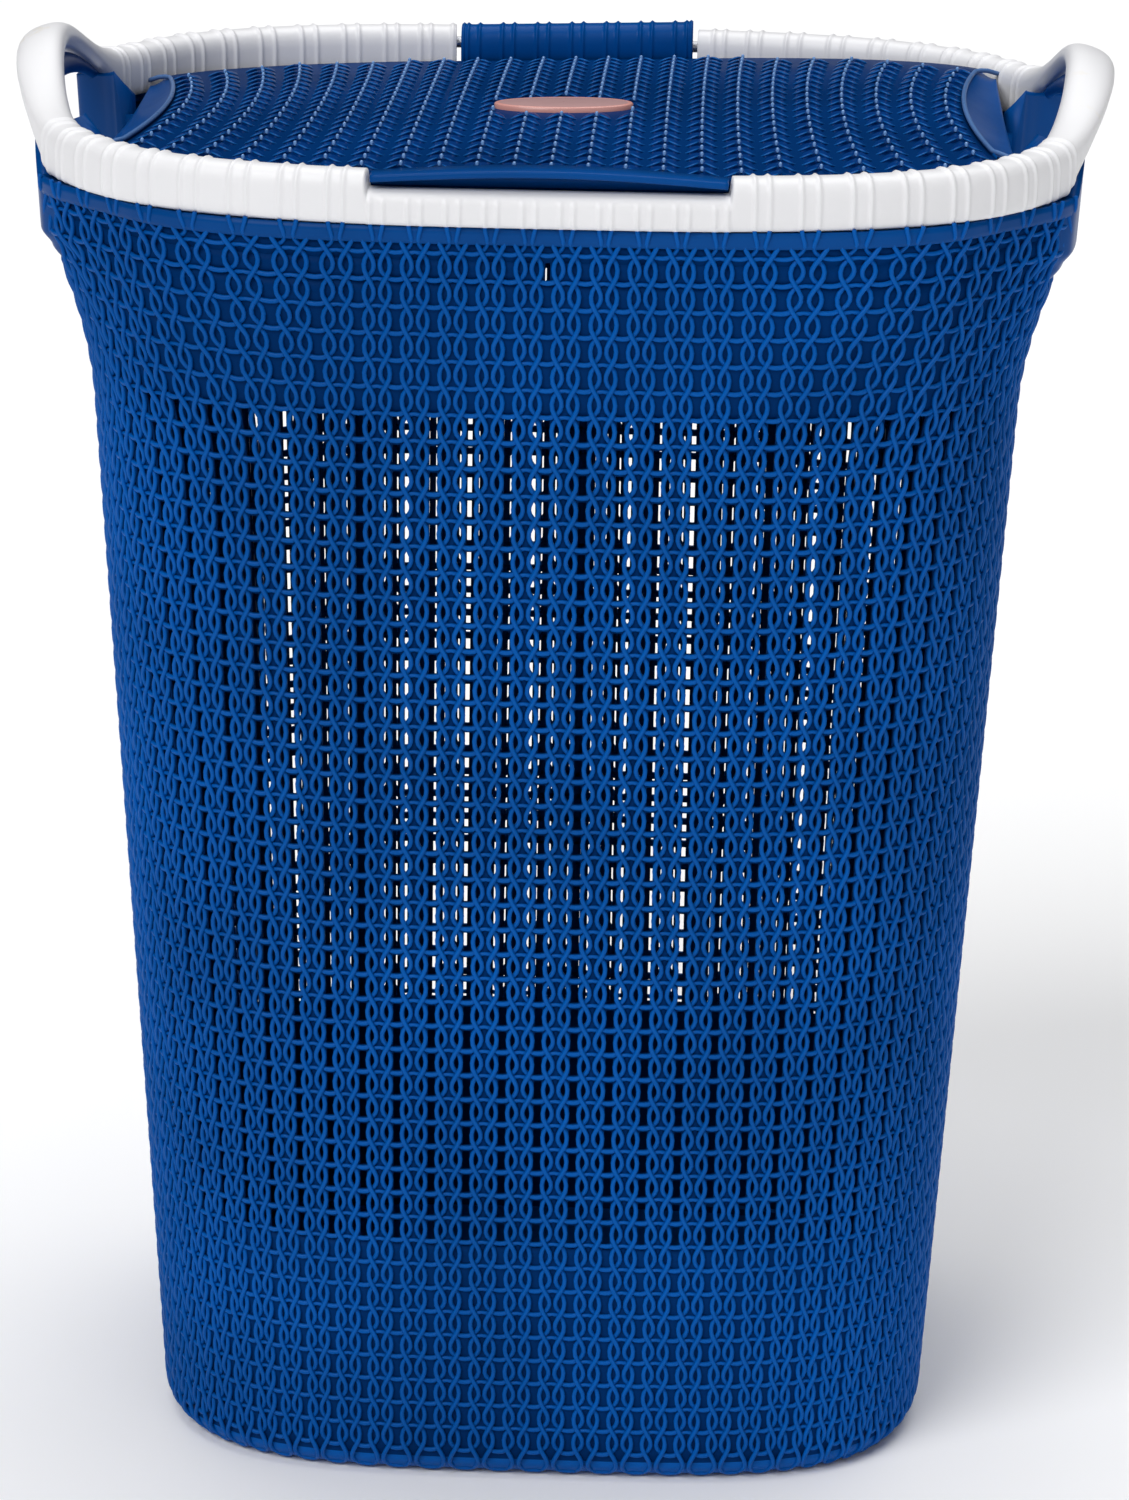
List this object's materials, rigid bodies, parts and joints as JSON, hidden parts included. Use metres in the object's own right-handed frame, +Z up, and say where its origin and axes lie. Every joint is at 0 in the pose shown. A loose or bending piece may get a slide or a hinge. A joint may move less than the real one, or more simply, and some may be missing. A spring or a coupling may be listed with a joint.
{
  "type": "laundry hamper with lid",
  "caption": "Tapered knit-look plastic laundry hamper with an off-white rim ring, side handles and a lid hinged at the back.",
  "frame": {"origin": "centre of the footprint on the floor", "axes": "+Z up, +X to the hamper's right seen from the front, the front with the finger recess faces -Y, the hinge is at +Y"},
  "size_m": [0.4576, 0.3469, 0.594],
  "materials": {
    "blue_plastic": "moulded polypropylene with a soft satin sheen",
    "lid_plastic": "moulded polypropylene with a soft satin sheen",
    "white_plastic": "off-white moulded polypropylene, satin",
    "pin_metal": "plain drawn pin",
    "badge_plastic": "plain printed oval under a clear coat"
  },
  "bodies": {
    "tub": {"tub_floor": "blue_plastic", "tub_wall_front": "blue_plastic", "tub_wall_back": "blue_plastic", "tub_wall_left": "blue_plastic", "tub_wall_right": "blue_plastic", "tub_ear_left_front": "blue_plastic", "tub_ear_left_rear": "blue_plastic", "tub_ear_right_front": "blue_plastic", "tub_ear_right_rear": "blue_plastic", "rim_front_left": "white_plastic", "rim_front_centre": "white_plastic", "rim_front_right": "white_plastic", "rim_back_left": "white_plastic", "rim_back_right": "white_plastic", "handle_left": "white_plastic", "handle_right": "white_plastic", "hinge_pin_left": "pin_metal", "hinge_pin_right": "pin_metal"},
    "lid": {"lid_panel": "lid_plastic", "lid_scoop_left": "lid_plastic", "lid_scoop_right": "lid_plastic", "lid_lip": "lid_plastic", "lid_lip_wall": "lid_plastic", "hinge_barrel": "lid_plastic", "lid_badge": "badge_plastic"}
  },
  "joints": [
    {"name": "lid_hinge", "type": "hinge", "parent": "tub", "child": "lid", "pos_m": [0, 0.164, 0.5615], "axis": [-1, 0, 0], "range_deg": [0, 100]}
  ]
}
